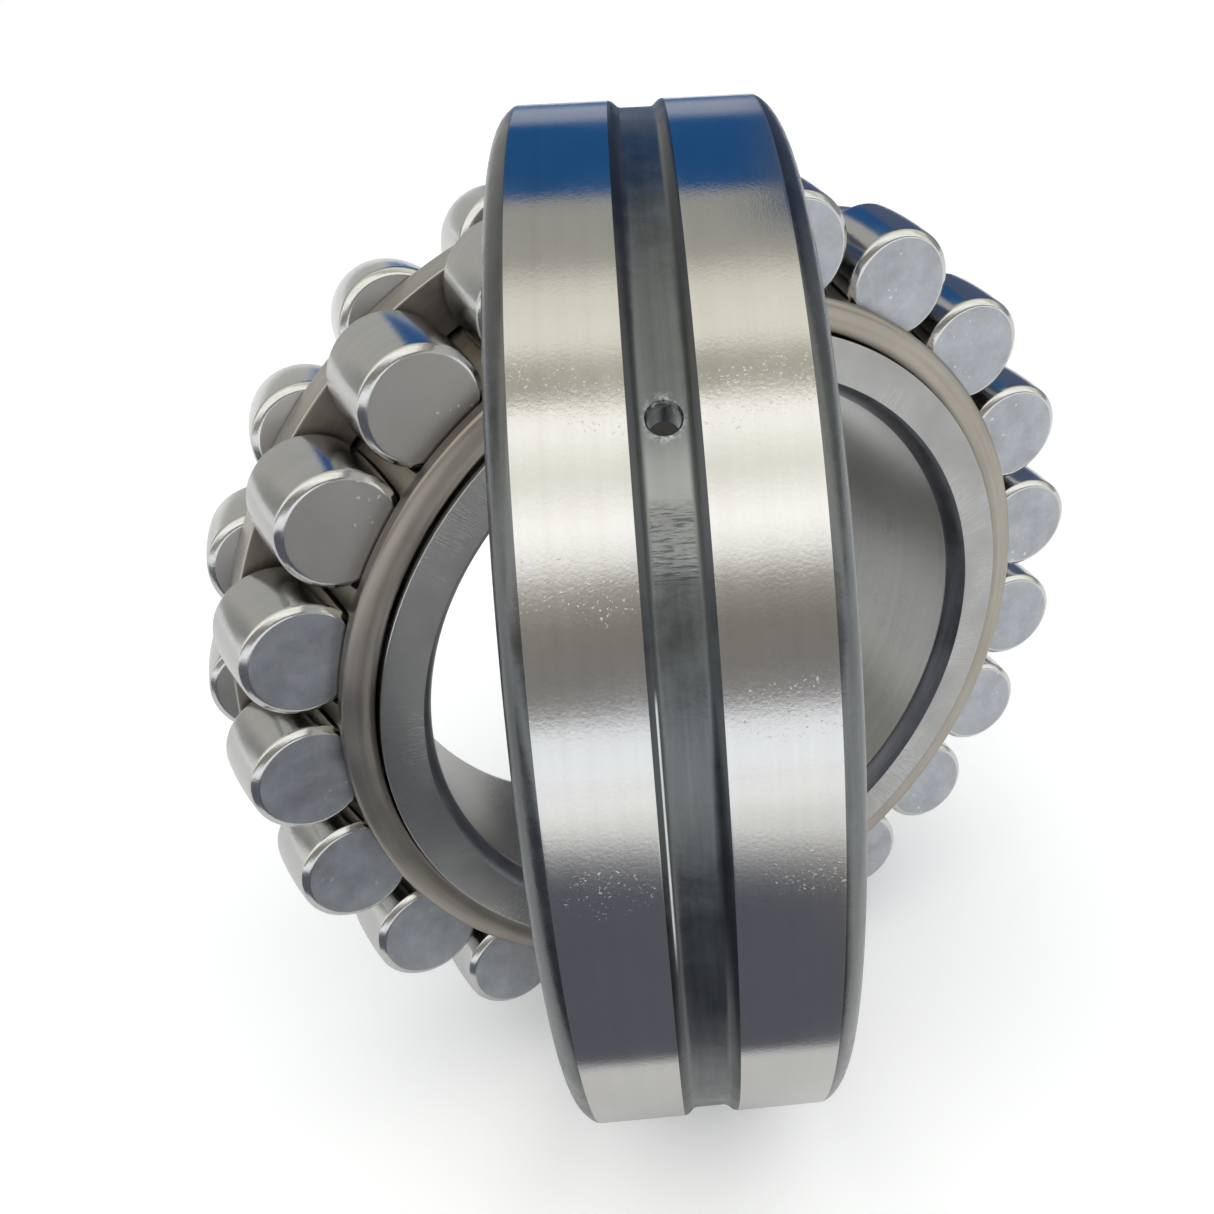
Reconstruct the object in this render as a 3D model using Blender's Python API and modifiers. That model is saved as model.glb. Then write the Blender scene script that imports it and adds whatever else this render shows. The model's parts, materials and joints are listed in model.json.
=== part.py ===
"""Spherical roller bearing, 75 x 130 x 31 mm, with its inner ring swivelled out of the outer ring.

Origin: the bearing's centre. +X runs along the outer ring's axis, +Z points up along the
swivel axis, a diameter that both rings share. Lengths are in metres, angles in radians.
"""
import math

import bpy
from mathutils import Matrix

# Driving dimensions of the bearing
OUTER_R = 0.065
BORE_R = 0.0375
HALF_WIDTH = 0.0155
SWIVEL_TURN = math.radians(-67.07)

# Rollers: two rows of barrels on tilted axes
ROLLERS_PER_ROW = 21
ROLLER_R = 0.00695
ROLLER_HALF_LENGTH = 0.0054
ROLLER_CROWN_R = 0.058
ROLLER_EDGE = 0.0007
ROLLER_TILT = math.radians(8.26)
PITCH_R = 0.05237
ROW_OFFSET = 0.0076
FRONT_PHASE = math.radians(2.94)
REAR_PHASE = math.radians(-1.57)

# Outer ring
SPHERE_R = 0.0603
SPHERE_END = 0.0147
EDGE_AXIAL = 0.0024
EDGE_RADIAL = 0.0028
FACE_INNER_R = 0.0589
GROOVE_HALF = 0.00276
GROOVE_FLOOR_HALF = 0.00185
GROOVE_DEPTH = 0.0008
OIL_HOLES = 3
OIL_HOLE_R = 0.0015
OIL_HOLE_PHASE = math.radians(43.7)

# Inner ring
RACE_PROFILE_R = 0.0593
RACE_CENTRE_R = 0.10388
RACE_CENTRE_X = 0.01508
RACE_START = 0.0016
RACE_END = 0.0121
LAND_R = 0.0462
LAND_HALF = 0.0010
SHOULDER = ((0.0439, 0.0125), (0.0439, 0.0150), (0.0434, HALF_WIDTH))
BORE_CHAMFER = ((0.0390, HALF_WIDTH), (0.03785, 0.0146), (BORE_R, 0.0130))

# Cages: a rim in front of the roller ends, and a wall that runs between the rollers
CAGE_RIM_INNER_R = 0.0442
CAGE_RIM_OUTER_R = 0.0478
CAGE_RIM_FRONT = 0.0148
CAGE_RIM_BACK = 0.0128
CAGE_RIM_ROUND = 0.0006
CAGE_WALL_OUTER_R = 0.0509
CAGE_SHEET = 0.0015
CAGE_WALL_END = 0.0003
WINDOW_CLEARANCE = 0.00032

# Guide ring, between the inboard ends of the two rows
GUIDE_INNER_R = 0.0512
GUIDE_OUTER_R = 0.0572
GUIDE_INNER_HALF = 0.00165
GUIDE_OUTER_HALF = 0.0023
GUIDE_EDGE = 0.0002

# Fineness of the solids
RING_STEPS = 56
ROLLER_STEPS = 14
WINDOW_STEPS = 16
HOLE_STEPS = 12
SPHERE_SPANS = 8
RACE_SPANS = 4
CROWN_SPANS = 3
EDGE_SPANS = 2
MERGE = 1e-5

# The frames of the two rings: local Z is the ring's axis, local X is up
OUTER_FRAME = Matrix(((0, 0, 1, 0), (0, -1, 0, 0), (1, 0, 0, 0), (0, 0, 0, 1)))
INNER_FRAME = Matrix.Rotation(SWIVEL_TURN, 4, "Z") @ OUTER_FRAME


def clear_scene():
    for old in list(bpy.data.objects):
        bpy.data.objects.remove(old)


def new_collection(name, parent):
    collection = bpy.data.collections.new(name)
    parent.children.link(collection)
    return collection


def steel(name, colour, roughness, metallic=1.0):
    material = bpy.data.materials.new(name)
    material.use_nodes = True
    shader = material.node_tree.nodes["Principled BSDF"]
    shader.inputs["Base Color"].default_value = (*colour, 1.0)
    shader.inputs["Roughness"].default_value = roughness
    shader.inputs["Metallic"].default_value = metallic
    return material


def axis_empty(name, frame, collection):
    empty = bpy.data.objects.new(name, None)
    empty.matrix_world = frame
    collection.objects.link(empty)
    return empty


def outline_mesh(name, outline, closed):
    """A profile in the XZ plane: radius along X, height along Z."""
    points = [(radius, 0.0, height) for radius, height in outline]
    edges = [(i, i + 1) for i in range(len(points) - 1)]
    if closed:
        edges.append((len(points) - 1, 0))
    mesh = bpy.data.meshes.new(name)
    mesh.from_pydata(points, edges, [])
    return mesh


def turned(name, mesh, steps, parent, collection):
    """Turn a profile mesh about the object's Z axis into one closed body."""
    body = bpy.data.objects.new(name, mesh)
    collection.objects.link(body)
    body.parent = parent
    screw = body.modifiers.new("turn", "SCREW")
    screw.axis = "Z"
    screw.angle = math.tau
    screw.steps = steps
    screw.render_steps = steps
    screw.use_merge_vertices = True
    screw.merge_threshold = MERGE
    screw.use_smooth_shade = True
    return body


def as_cutter(body):
    body.hide_render = True
    body.display_type = "WIRE"


def mirrored(upper):
    """A profile's upper half, from the top down, followed by its mirror image."""
    return upper + [(radius, -height) for radius, height in reversed(upper)]


def edge_curve():
    """The outer ring's edge, an elliptical corner from the side face to the outer surface."""
    points = []
    for step in range(EDGE_SPANS + 1):
        turn = math.pi / 2 * step / EDGE_SPANS
        radius = OUTER_R - EDGE_RADIAL * (1 - math.sin(turn))
        height = HALF_WIDTH - EDGE_AXIAL * (1 - math.cos(turn))
        points.append((radius, height))
    return points


def outer_ring_outline():
    groove = [
        (OUTER_R, GROOVE_HALF),
        (OUTER_R - GROOVE_DEPTH, GROOVE_FLOOR_HALF),
    ]
    outside = mirrored(edge_curve() + groove)
    sphere = []
    half_angle = math.asin(SPHERE_END / SPHERE_R)
    for step in range(SPHERE_SPANS + 1):
        angle = half_angle * (2 * step / SPHERE_SPANS - 1)
        sphere.append((SPHERE_R * math.cos(angle), SPHERE_R * math.sin(angle)))
    return outside + [(FACE_INNER_R, -HALF_WIDTH)] + sphere + [(FACE_INNER_R, HALF_WIDTH)]


def raceway(first, last):
    """The hollow track of one row on the inner ring, from one height to another."""
    points = []
    for step in range(RACE_SPANS + 1):
        height = first + (last - first) * step / RACE_SPANS
        drop = RACE_CENTRE_X - height
        points.append((RACE_CENTRE_R - math.sqrt(RACE_PROFILE_R ** 2 - drop ** 2), height))
    return points


def inner_ring_outline():
    outside = list(reversed(SHOULDER)) + raceway(RACE_END, RACE_START) + [(LAND_R, LAND_HALF)]
    inside = [(radius, -height) for radius, height in BORE_CHAMFER] + list(reversed(BORE_CHAMFER))
    return mirrored(outside) + inside


def guide_ring_outline():
    side = [
        (GUIDE_INNER_R, GUIDE_INNER_HALF),
        (GUIDE_OUTER_R - GUIDE_EDGE, GUIDE_OUTER_HALF),
        (GUIDE_OUTER_R, GUIDE_OUTER_HALF - GUIDE_EDGE),
    ]
    return mirrored(side)


def cage_outline(side):
    """The cage's section; side is 1 for the front row and -1 for the rear row."""
    rim_top = CAGE_RIM_FRONT - CAGE_RIM_ROUND
    wall_inner_r = CAGE_WALL_OUTER_R - CAGE_SHEET
    rim_wall_r = CAGE_RIM_OUTER_R - CAGE_SHEET
    points = [
        (CAGE_RIM_INNER_R + CAGE_RIM_ROUND, CAGE_RIM_FRONT),
        (CAGE_RIM_OUTER_R - CAGE_RIM_ROUND, CAGE_RIM_FRONT),
        (CAGE_RIM_OUTER_R, rim_top),
        (CAGE_RIM_OUTER_R, CAGE_RIM_BACK),
        (CAGE_WALL_OUTER_R, CAGE_WALL_END),
        (wall_inner_r, CAGE_WALL_END),
        (rim_wall_r, CAGE_RIM_BACK),
        (CAGE_RIM_INNER_R, CAGE_RIM_BACK),
        (CAGE_RIM_INNER_R, rim_top),
    ]
    if side < 0:
        return [(radius, -height) for radius, height in reversed(points)]
    return points


def barrel_outline(grow):
    """A roller's outline from pole to pole, made larger all round by grow."""
    top = ROLLER_HALF_LENGTH + grow
    crown_end = ROLLER_HALF_LENGTH - ROLLER_EDGE
    points = []
    for step in range(CROWN_SPANS + 1):
        height = crown_end * (1 - 2 * step / CROWN_SPANS)
        drop = ROLLER_CROWN_R - math.sqrt(ROLLER_CROWN_R ** 2 - height ** 2)
        stretched = height * (crown_end + grow) / crown_end
        points.append((ROLLER_R + grow - drop, stretched))
    end_r = points[0][0] - ROLLER_EDGE
    return [(0.0, top), (end_r, top)] + points + [(end_r, -top), (0.0, -top)]


def place_in_row(body, side, angle):
    """Put a body on the pitch circle with its Z axis on the roller's tilted axis."""
    body.location = (PITCH_R * math.cos(angle), PITCH_R * math.sin(angle), side * ROW_OFFSET)
    body.rotation_euler = (0.0, -side * ROLLER_TILT, angle)


def row_angles(phase):
    return [phase + math.tau * index / ROLLERS_PER_ROW for index in range(ROLLERS_PER_ROW)]


def make_outer_ring(axis, parts, cutters):
    ring = turned(
        "outer_ring", outline_mesh("outer_ring", outer_ring_outline(), True), RING_STEPS, axis, parts
    )
    ring.data.materials.append(steel("ground_ring_steel", (0.62, 0.62, 0.61), 0.28))
    reach = OUTER_R - SPHERE_R
    for index in range(OIL_HOLES):
        bpy.ops.mesh.primitive_cylinder_add(vertices=HOLE_STEPS, radius=OIL_HOLE_R, depth=4 * reach)
        drill = bpy.context.active_object
        drill.name = f"oil_drill_{index + 1}"
        for collection in list(drill.users_collection):
            collection.objects.unlink(drill)
        cutters.objects.link(drill)
        angle = OIL_HOLE_PHASE + math.tau * index / OIL_HOLES
        drill.parent = axis
        middle = (OUTER_R + SPHERE_R) / 2
        drill.location = (middle * math.cos(angle), middle * math.sin(angle), 0.0)
        drill.rotation_euler = (0.0, math.pi / 2, angle)
        as_cutter(drill)
        cut = ring.modifiers.new(drill.name, "BOOLEAN")
        cut.operation = "DIFFERENCE"
        cut.object = drill


def make_inner_ring(axis, parts):
    ring = turned(
        "inner_ring", outline_mesh("inner_ring", inner_ring_outline(), True), RING_STEPS, axis, parts
    )
    ring.data.materials.append(steel("inner_ring_steel", (0.52, 0.52, 0.51), 0.32))


def make_guide_ring(axis, parts):
    ring = turned(
        "guide_ring", outline_mesh("guide_ring", guide_ring_outline(), True), RING_STEPS, axis, parts
    )
    ring.data.materials.append(steel("guide_ring_steel", (0.50, 0.48, 0.45), 0.42))


def make_cage(name, side, phase, axis, parts, cutters):
    cage = turned(name, outline_mesh(name, cage_outline(side), True), RING_STEPS, axis, parts)
    cage.data.materials.append(steel(name + "_steel", (0.42, 0.38, 0.33), 0.45))
    window_mesh = outline_mesh(name + "_window", barrel_outline(WINDOW_CLEARANCE), False)
    windows = new_collection(name + "_windows", cutters)
    for index, angle in enumerate(row_angles(phase)):
        window = turned(f"{name}_window_{index + 1:02d}", window_mesh, WINDOW_STEPS, axis, windows)
        place_in_row(window, side, angle)
        as_cutter(window)
    cut = cage.modifiers.new("windows", "BOOLEAN")
    cut.operation = "DIFFERENCE"
    cut.operand_type = "COLLECTION"
    cut.collection = windows


def make_rollers(row, side, phase, axis, parts):
    mesh = outline_mesh(row + "_roller", barrel_outline(0.0), False)
    for index, angle in enumerate(row_angles(phase)):
        name = f"{row}_roller_{index + 1:02d}"
        roller = turned(name, mesh.copy(), ROLLER_STEPS, axis, parts)
        roller.data.materials.append(steel(name + "_steel", (0.60, 0.60, 0.62), 0.20))
        place_in_row(roller, side, angle)


def main():
    clear_scene()
    scene = bpy.context.scene.collection
    parts = new_collection("spherical_roller_bearing", scene)
    cutters = new_collection("cutters", scene)
    outer_axis = axis_empty("outer_axis", OUTER_FRAME, parts)
    inner_axis = axis_empty("inner_axis", INNER_FRAME, parts)
    make_outer_ring(outer_axis, parts, cutters)
    make_inner_ring(inner_axis, parts)
    make_guide_ring(inner_axis, parts)
    make_cage("front_cage", 1, FRONT_PHASE, inner_axis, parts, cutters)
    make_cage("rear_cage", -1, REAR_PHASE, inner_axis, parts, cutters)
    make_rollers("front", 1, FRONT_PHASE, inner_axis, parts)
    make_rollers("rear", -1, REAR_PHASE, inner_axis, parts)


main()
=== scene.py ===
import json
import math

import bpy
from mathutils import Matrix, Vector


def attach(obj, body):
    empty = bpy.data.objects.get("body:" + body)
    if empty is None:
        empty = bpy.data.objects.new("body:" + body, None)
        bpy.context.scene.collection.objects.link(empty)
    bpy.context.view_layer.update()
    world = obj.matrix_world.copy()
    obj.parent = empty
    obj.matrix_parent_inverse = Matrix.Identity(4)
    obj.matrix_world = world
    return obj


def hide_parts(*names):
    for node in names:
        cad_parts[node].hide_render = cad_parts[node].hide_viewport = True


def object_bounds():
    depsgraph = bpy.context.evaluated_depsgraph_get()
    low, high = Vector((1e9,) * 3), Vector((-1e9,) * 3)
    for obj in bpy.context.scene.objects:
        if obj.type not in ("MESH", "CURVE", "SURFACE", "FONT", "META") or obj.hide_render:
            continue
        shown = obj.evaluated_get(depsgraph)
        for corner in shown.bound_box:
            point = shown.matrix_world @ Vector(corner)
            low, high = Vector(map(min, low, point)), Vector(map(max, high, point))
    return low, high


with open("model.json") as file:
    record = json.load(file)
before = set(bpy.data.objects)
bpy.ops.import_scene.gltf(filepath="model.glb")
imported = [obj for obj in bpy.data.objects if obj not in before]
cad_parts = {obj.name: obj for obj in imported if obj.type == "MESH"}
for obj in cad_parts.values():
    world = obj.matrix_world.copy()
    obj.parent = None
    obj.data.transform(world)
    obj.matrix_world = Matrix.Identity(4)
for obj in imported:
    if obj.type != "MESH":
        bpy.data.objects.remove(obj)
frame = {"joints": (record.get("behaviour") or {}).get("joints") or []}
cad_low, cad_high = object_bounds()

# ---------------------------------------------------------------- sizes, in metres

OUTER_R = 0.065
HALF_WIDTH = 0.0155
BORE_R = 0.0375

# Outer ring
FACE_OUTER_R = 0.0622
FACE_INNER_R = 0.0589
CORNER_AXIAL = 0.0024
CORNER_FLATNESS = 1.3
SPHERE_R = 0.0603
SPHERE_END = 0.0149
GROOVE_TOP_HALF = 0.00280
GROOVE_FLOOR_HALF = 0.00192
GROOVE_FLOOR_R = 0.0642
OIL_HOLE_R = 0.0015
OIL_HOLE_FLARE_R = 0.0017
OIL_HOLE_ANGLES = [math.radians(43.7 + 120 * index) for index in range(3)]
DRILL_REACH = 0.004

# Inner ring
RACE_PROFILE_R = 0.0593
RACE_CENTRE_R = 0.10388
RACE_CENTRE_HEIGHT = 0.01508
RACE_START = 0.0014
RACE_END = 0.0121
LAND_R = 0.0462
LAND_HALF = 0.0010
FACE_EDGE_R = 0.0438
SHOULDER_R = 0.0439
SHOULDER_START = 0.0125
BORE_CHAMFER_R = 0.0390
BORE_CHAMFER_AXIAL = 0.0025

# Rollers
ROLLERS_PER_ROW = 21
ROLLER_R = 0.00695
ROLLER_HALF_LENGTH = 0.0054
ROLLER_CROWN_R = 0.058
ROLLER_CORNER = 0.00074
ROLLER_CORNER_AXIAL = 0.00062

# Cages
RIM_INNER_R = 0.0441
RIM_OUTER_R = 0.0478
RIM_FRONT = 0.0148
RIM_BACK = 0.0128
RIM_ROUND = 0.0008
WALL_OUTER_R = 0.0509
WALL_END = 0.0003
SHEET = 0.0015
SHEET_EDGE = 0.00015
WINDOW_CLEARANCE = 0.00032
WINDOW_CORNER = 0.0003

# Guide ring
GUIDE_INNER_R = 0.0512
GUIDE_OUTER_R = 0.0572
GUIDE_INNER_HALF = 0.00165
GUIDE_OUTER_HALF = 0.0023
GUIDE_ROUND = 0.0002

# How finely the pieces are made: sides round each axis, and steps along each curve of a section
RING_SIDES = 288
CAGE_SIDES = 252
ROLLER_SIDES = 72
HOLE_SIDES = 48
WINDOW_SIDES = 40
ARC_STEPS = 14
SPHERE_STEPS = 28
CROWN_STEPS = 16
SMOOTH_ANGLE = math.radians(30)

# How far a holding edge sits from a corner, so that the face beside the corner stays flat
HOLD = 0.0003
THIN_HOLD = 0.0002

# Points nearer than WELD are merged. HAIR is the slack in telling faces apart by place, and a face
# whose normal has SIDE_FACING or more along the axis is a side face
WELD = 2e-6
HAIR = 0.00001
SIDE_FACING = 0.9

# ---------------------------------------------------------------- places, from the frame

joints = {joint["name"]: joint for joint in frame["joints"]}
INNER_AXIS = Vector(joints["inner_spin"]["axis"]).normalized()
UP = Vector((0, 0, 1))


def turned_frame(centre, axis, out):
    """The place of a turned piece: local Z along its axis, local X towards out."""
    z = axis.normalized()
    x = (out - z * out.dot(z)).normalized()
    y = z.cross(x)
    place = Matrix.Identity(4)
    for row in range(3):
        place[row][0] = x[row]
        place[row][1] = y[row]
        place[row][2] = z[row]
        place[row][3] = centre[row]
    return place


OUTER_PLACE = turned_frame(Vector((0, 0, 0)), Vector((1, 0, 0)), UP)
INNER_PLACE = turned_frame(Vector((0, 0, 0)), INNER_AXIS, UP)


def roller_place(name):
    joint = joints[name + "_spin"]
    centre = Vector(joint["pos_m"])
    return turned_frame(centre, Vector(joint["axis"]), centre - INNER_AXIS * centre.dot(INNER_AXIS))


# ---------------------------------------------------------------- modelling

def deselect_all():
    if bpy.context.object is not None and bpy.context.object.mode != "OBJECT":
        bpy.ops.object.mode_set(mode="OBJECT")
    bpy.ops.object.select_all(action="DESELECT")


def make_active(piece):
    deselect_all()
    piece.select_set(True)
    bpy.context.view_layer.objects.active = piece


def start_circle(name, radius, height, sides):
    """The first loop of a turned piece, selected and ready to be pulled."""
    deselect_all()
    bpy.ops.mesh.primitive_circle_add(vertices=sides, radius=radius, location=(0, 0, height))
    piece = bpy.context.active_object
    piece.name = name
    piece.data.name = name
    bpy.ops.object.transform_apply(location=True, rotation=False, scale=False)
    bpy.ops.object.mode_set(mode="EDIT")
    bpy.ops.mesh.select_all(action="SELECT")
    return piece


def widen(radius, next_radius):
    """Widen or narrow what is selected about the axis."""
    share = next_radius / radius
    bpy.ops.transform.resize(value=(share, share, 1), center_override=(0, 0, 0))


def pull_loop(radius, height, next_radius, next_height):
    """Extrude the selected loop along the axis and widen or narrow it."""
    bpy.ops.mesh.extrude_edges_move(TRANSFORM_OT_translate={"value": (0, 0, next_height - height)})
    widen(radius, next_radius)


def pull_cap(radius, height, next_radius, next_height):
    """Extrude the selected end face along the axis and widen or narrow it."""
    bpy.ops.mesh.extrude_region_move(TRANSFORM_OT_translate={"value": (0, 0, next_height - height)})
    widen(radius, next_radius)


def weld_and_orient():
    """Close the seams and point every face outwards."""
    bpy.ops.mesh.select_all(action="SELECT")
    bpy.ops.mesh.remove_doubles(threshold=WELD)
    bpy.ops.mesh.normals_make_consistent(inside=False)
    bpy.ops.object.mode_set(mode="OBJECT")


def turn_ring(name, outline, sides):
    """A closed ring: a circle pulled from point to point of its section, back to the first."""
    radius, height = outline[0]
    piece = start_circle(name, radius, height, sides)
    for next_radius, next_height in outline[1:] + outline[:1]:
        pull_loop(radius, height, next_radius, next_height)
        radius, height = next_radius, next_height
    weld_and_orient()
    return piece


def turn_plug(name, outline, sides):
    """A solid turned piece with a flat face at each end."""
    radius, height = outline[0]
    piece = start_circle(name, radius, height, sides)
    bpy.ops.mesh.edge_face_add()
    bpy.ops.mesh.select_all(action="SELECT")
    for next_radius, next_height in outline[1:]:
        pull_cap(radius, height, next_radius, next_height)
        radius, height = next_radius, next_height
    weld_and_orient()
    return piece


def apply_modifier(piece, modifier):
    make_active(piece)
    bpy.ops.object.modifier_apply(modifier=modifier.name)


def cut(piece, cutter):
    boolean = piece.modifiers.new("cut", "BOOLEAN")
    boolean.operation = "DIFFERENCE"
    boolean.solver = "EXACT"
    boolean.object = cutter
    apply_modifier(piece, boolean)
    bpy.data.objects.remove(cutter)


def join_pieces(pieces, name):
    make_active(pieces[0])
    for piece in pieces:
        piece.select_set(True)
    bpy.ops.object.join()
    joined = bpy.context.active_object
    joined.name = name
    joined.data.name = name
    return joined


def copy_piece(piece, name):
    """A copy with a mesh of its own."""
    copied = piece.copy()
    copied.data = piece.data.copy()
    copied.name = name
    copied.data.name = name
    bpy.context.scene.collection.objects.link(copied)
    return copied


def smooth(piece):
    """Round faces shade smooth, flat ones stay flat, corners stay crisp."""
    make_active(piece)
    bpy.ops.object.shade_smooth_by_angle(angle=SMOOTH_ANGLE)
    weighted = piece.modifiers.new("flat faces", "WEIGHTED_NORMAL")
    weighted.mode = "FACE_AREA"
    weighted.keep_sharp = True
    apply_modifier(piece, weighted)


def store_turned_place(piece, shift=0.0):
    """Keep each point's place about the piece's own axis, for finishes that follow the turning.

    A shift along the axis gives each of many like pieces a stretch of the finish of its own.
    """
    count = len(piece.data.vertices)
    places = [0.0] * (3 * count)
    piece.data.vertices.foreach_get("co", places)
    for index in range(count):
        places[3 * index + 2] += shift
    attribute = piece.data.attributes.new("turned_place", "FLOAT_VECTOR", "POINT")
    attribute.data.foreach_set("vector", places)


def lay(piece, place):
    """Put a piece at its place and work that place into its mesh."""
    make_active(piece)
    piece.matrix_world = place
    bpy.ops.object.transform_apply(location=True, rotation=True, scale=True)


def paint_by(piece, materials, choose):
    """Give each face the material that choose picks from its centre and normal."""
    for material in materials:
        piece.data.materials.append(material)
    for face in piece.data.polygons:
        face.material_index = choose(face.center, face.normal)


def arc(centre_r, centre_height, size_r, size_height, start, end, steps):
    """Points on an elliptical arc, angles in degrees from outwards towards up."""
    points = []
    for step in range(steps + 1):
        angle = math.radians(start + (end - start) * step / steps)
        points.append((centre_r + size_r * math.cos(angle), centre_height + size_height * math.sin(angle)))
    return points


def rounded_corner(before, corner, after, reach, steps):
    """Points on a soft curve that replaces a sharp corner of the section."""
    ends = []
    for point in (before, after):
        share = reach / math.dist(corner, point)
        ends.append([corner[axis] + (point[axis] - corner[axis]) * share for axis in range(2)])
    points = []
    for step in range(steps + 1):
        t = step / steps
        points.append(tuple(
            (1 - t) ** 2 * ends[0][axis] + 2 * t * (1 - t) * corner[axis] + t ** 2 * ends[1][axis]
            for axis in range(2)
        ))
    return points


def mirrored(upper):
    return upper + [(radius, -height) for radius, height in reversed(upper)]


# ---------------------------------------------------------------- sections of the turned pieces

def outer_ring_section():
    face = [(FACE_OUTER_R - 0.0004, HALF_WIDTH)]
    corner = []
    for step in range(ARC_STEPS + 1):
        angle = math.radians(90 - 90 * step / ARC_STEPS)
        out = (OUTER_R - FACE_OUTER_R) * max(math.cos(angle), 0) ** CORNER_FLATNESS
        side = CORNER_AXIAL * max(math.sin(angle), 0) ** CORNER_FLATNESS
        corner.append((FACE_OUTER_R + out, HALF_WIDTH - CORNER_AXIAL + side))
    band = [(OUTER_R, HALF_WIDTH - CORNER_AXIAL - HOLD), (OUTER_R, GROOVE_TOP_HALF + 0.0006)]
    brink = (OUTER_R, GROOVE_TOP_HALF)
    floor_edge = (GROOVE_FLOOR_R, GROOVE_FLOOR_HALF)
    groove = rounded_corner(band[-1], brink, floor_edge, 0.0005, 6)
    groove += rounded_corner(brink, floor_edge, (GROOVE_FLOOR_R, 0.001), 0.0003, 4)
    groove.append((GROOVE_FLOOR_R, GROOVE_FLOOR_HALF - 0.0006))
    outside = mirrored(face + corner + band + groove)
    end_angle = math.degrees(math.asin(SPHERE_END / SPHERE_R))
    sphere = arc(0, 0, SPHERE_R, SPHERE_R, -end_angle, end_angle, SPHERE_STEPS)
    inner_edge = [(FACE_INNER_R + HOLD, -HALF_WIDTH), (FACE_INNER_R, -HALF_WIDTH)]
    return outside + inner_edge + sphere + [(radius, -height) for radius, height in reversed(inner_edge)]


def inner_ring_section():
    face = [(FACE_EDGE_R - HOLD, HALF_WIDTH)]
    edge = SHOULDER_R - FACE_EDGE_R
    shoulder = arc(FACE_EDGE_R, HALF_WIDTH - edge, edge, edge, 90, 0, 5)
    shoulder += [(SHOULDER_R, SHOULDER_START + HOLD), (SHOULDER_R, SHOULDER_START)]
    race = []
    for step in range(ARC_STEPS + 1):
        height = RACE_END + (RACE_START - RACE_END) * step / ARC_STEPS
        drop = RACE_CENTRE_HEIGHT - height
        race.append((RACE_CENTRE_R - math.sqrt(RACE_PROFILE_R ** 2 - drop ** 2), height))
    land = [(LAND_R, LAND_HALF), (LAND_R, LAND_HALF - HOLD)]
    outside = mirrored(face + shoulder + race + land)
    chamfer_top = HALF_WIDTH - BORE_CHAMFER_AXIAL
    bore = [
        (BORE_CHAMFER_R + HOLD, -HALF_WIDTH),
        (BORE_CHAMFER_R, -HALF_WIDTH),
        (BORE_CHAMFER_R - 0.0007, -HALF_WIDTH + 0.0007),
        (BORE_R + THIN_HOLD, -chamfer_top - 0.0004),
        (BORE_R, -chamfer_top),
        (BORE_R, -chamfer_top + 0.0004),
    ]
    return outside + bore + [(radius, -height) for radius, height in reversed(bore)]


def guide_ring_section():
    side = [(GUIDE_INNER_R, GUIDE_INNER_HALF)]
    slope = (GUIDE_OUTER_HALF - GUIDE_INNER_HALF) / (GUIDE_OUTER_R - GUIDE_INNER_R)
    side.append((GUIDE_INNER_R + THIN_HOLD, GUIDE_INNER_HALF + THIN_HOLD * slope))
    round_r = GUIDE_OUTER_R - GUIDE_ROUND
    side.append((round_r - THIN_HOLD, GUIDE_OUTER_HALF - THIN_HOLD * slope))
    side += arc(round_r, GUIDE_OUTER_HALF - GUIDE_ROUND, GUIDE_ROUND, GUIDE_ROUND, 90, 0, 4)
    side.append((GUIDE_OUTER_R, GUIDE_OUTER_HALF - GUIDE_ROUND - THIN_HOLD))
    return mirrored(side)


def cage_section():
    """The front cage's section: rolled rim, then the wall that runs in between the rollers."""
    middle_r = (RIM_INNER_R + RIM_OUTER_R) / 2
    half_rim = (RIM_OUTER_R - RIM_INNER_R) / 2
    rim = arc(middle_r, RIM_FRONT - RIM_ROUND, half_rim, RIM_ROUND, 180, 0, ARC_STEPS)
    wall_inner_r = WALL_OUTER_R - SHEET
    rim_wall_r = RIM_OUTER_R - SHEET
    wall = [
        (RIM_OUTER_R, RIM_BACK + THIN_HOLD),
        (RIM_OUTER_R + 0.00008, RIM_BACK - 0.0004),
        (WALL_OUTER_R - 0.00008, WALL_END + 0.0005),
        (WALL_OUTER_R, WALL_END + SHEET_EDGE),
        (WALL_OUTER_R - SHEET_EDGE, WALL_END),
        (wall_inner_r + SHEET_EDGE, WALL_END),
        (wall_inner_r, WALL_END + SHEET_EDGE),
        (wall_inner_r - 0.00006, WALL_END + 0.0005),
        (rim_wall_r + 0.0001, RIM_BACK - 0.0006),
        (rim_wall_r - THIN_HOLD, RIM_BACK),
        (RIM_INNER_R + HOLD, RIM_BACK),
        (RIM_INNER_R, RIM_BACK + HOLD),
    ]
    return rim + wall


def barrel_section(grow, corner, corner_axial, crown_steps, corner_steps):
    """A roller's outline from its top face to its bottom face, made larger all round by grow."""
    top = ROLLER_HALF_LENGTH + grow
    crown_end = top - corner_axial
    crown = []
    for step in range(crown_steps + 1):
        height = crown_end * (1 - 2 * step / crown_steps)
        drop = ROLLER_CROWN_R - math.sqrt(ROLLER_CROWN_R ** 2 - height ** 2)
        crown.append((ROLLER_R + grow - drop, height))
    end_r = crown[0][0] - corner
    reach = corner * 0.34
    inner = rounded_corner((0, top), (end_r, top), crown[0], reach, corner_steps)
    outer = rounded_corner((end_r, top), crown[0], crown[1], reach, corner_steps)
    edge_top = inner + outer
    edge_bottom = [(radius, -height) for radius, height in reversed(edge_top)]
    return edge_top + crown[1:-1] + edge_bottom


# ---------------------------------------------------------------- finishes

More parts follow.
